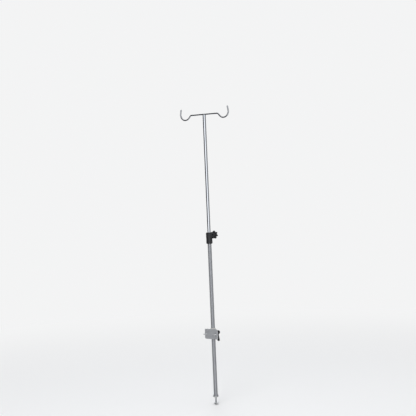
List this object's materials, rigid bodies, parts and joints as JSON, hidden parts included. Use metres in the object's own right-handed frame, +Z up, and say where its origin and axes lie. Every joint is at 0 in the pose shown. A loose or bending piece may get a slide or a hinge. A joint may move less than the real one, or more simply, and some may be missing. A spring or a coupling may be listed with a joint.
{
  "type": "chair-mounted iv drip stand",
  "caption": "Telescopic drip pole that clamps to a treatment chair's frame, with a bent-rod hook bar for infusion bags, a height lock collar and a foot spigot.",
  "frame": {"origin": "on the pole's axis, where the foot spigot's shoulder rests on top of the chair's base rail", "axes": "+Z up along the pole; +X along the hook bar, towards the front of the chair; +Y away from the chair's side, the way the clamp knobs point"},
  "size_m": [0.2948, 0.0905, 1.4717],
  "materials": {
    "chrome_tube": "bright chrome plate on drawn tube, with faint lengthwise draw lines",
    "polished_steel": "polished stainless rod, slightly duller at the bends and welds",
    "silver_paint": "fine silver-grey powder coat",
    "zinc_plate": "bright zinc plate",
    "black_plastic": "moulded black nylon with a fine spark texture",
    "natural_nylon": "natural nylon, satin",
    "grey_cap": "smooth grey cover cap",
    "brass": "turned brass"
  },
  "bodies": {
    "chair_mount": {"foot_spigot": "zinc_plate", "foot_washer": "zinc_plate", "foot_bolt": "zinc_plate", "bracket_plate": "silver_paint", "bracket_sleeve": "silver_paint", "bracket_boss": "silver_paint", "bracket_bush_lower": "natural_nylon", "bracket_bush_upper": "natural_nylon", "bracket_washer_rear": "zinc_plate", "bracket_screw_rear": "zinc_plate", "bracket_washer_front": "zinc_plate", "bracket_screw_front": "zinc_plate"},
    "bracket_clamp_pad": {"bracket_pad": "brass"},
    "bracket_clamp_lever": {"bracket_stud": "zinc_plate", "bracket_lever": "black_plastic", "bracket_lever_cap": "grey_cap"},
    "foot_turning_ring": {"foot_ring": "silver_paint"},
    "pole": {"outer_tube": "silver_paint", "foot_insert": "natural_nylon", "collar_body": "black_plastic", "collar_insert": "brass", "collar_grub_screw": "zinc_plate", "collar_bush": "natural_nylon"},
    "height_lock_pad": {"lock_pad": "brass"},
    "height_lock_knob": {"lock_stud": "zinc_plate", "lock_knob": "black_plastic", "lock_knob_cap": "grey_cap"},
    "mast_glide": {"glide_plug": "natural_nylon"},
    "mast": {"inner_tube": "chrome_tube", "mast_end_plug": "zinc_plate", "glide_screw": "zinc_plate", "top_plug": "polished_steel", "hook_front": "polished_steel", "hook_rear": "polished_steel"}
  },
  "joints": [
    {"name": "pole_turn", "type": "hinge", "parent": "chair_mount", "child": "foot_turning_ring", "pos_m": [0, 0, 0.005], "axis": [0, 0, 1], "continuous": true},
    {"name": "pole_lift", "type": "slide", "parent": "foot_turning_ring", "child": "pole", "axis": [0, 0, 1], "range_m": [0, 0.27]},
    {"name": "bracket_pad_travel", "type": "slide", "parent": "chair_mount", "child": "bracket_clamp_pad", "axis": [0, 1, 0], "range_m": [0, 0.00219]},
    {"name": "bracket_lever_turn", "type": "hinge", "parent": "bracket_clamp_pad", "child": "bracket_clamp_lever", "pos_m": [0, 0.0131, 0.315], "axis": [0, 1, 0], "range_deg": [0, 650]},
    {"name": "lock_pad_travel", "type": "slide", "parent": "pole", "child": "height_lock_pad", "axis": [0, 1, 0], "range_m": [0, 0.00175]},
    {"name": "lock_knob_turn", "type": "hinge", "parent": "height_lock_pad", "child": "height_lock_knob", "pos_m": [0, 0.0116, 0.803], "axis": [0, 1, 0], "range_deg": [0, 650]},
    {"name": "height_slide", "type": "slide", "parent": "pole", "child": "mast_glide", "axis": [0, 0, 1], "range_m": [-0.38, 0.2]},
    {"name": "mast_turn", "type": "hinge", "parent": "mast_glide", "child": "mast", "pos_m": [0, 0, 0.47], "axis": [0, 0, 1], "continuous": true}
  ],
  "couplings": [
    {"joint": "bracket_lever_turn", "follows": "bracket_pad_travel", "rad_per_m": 5026.5},
    {"joint": "lock_knob_turn", "follows": "lock_pad_travel", "rad_per_m": 6283.2}
  ]
}
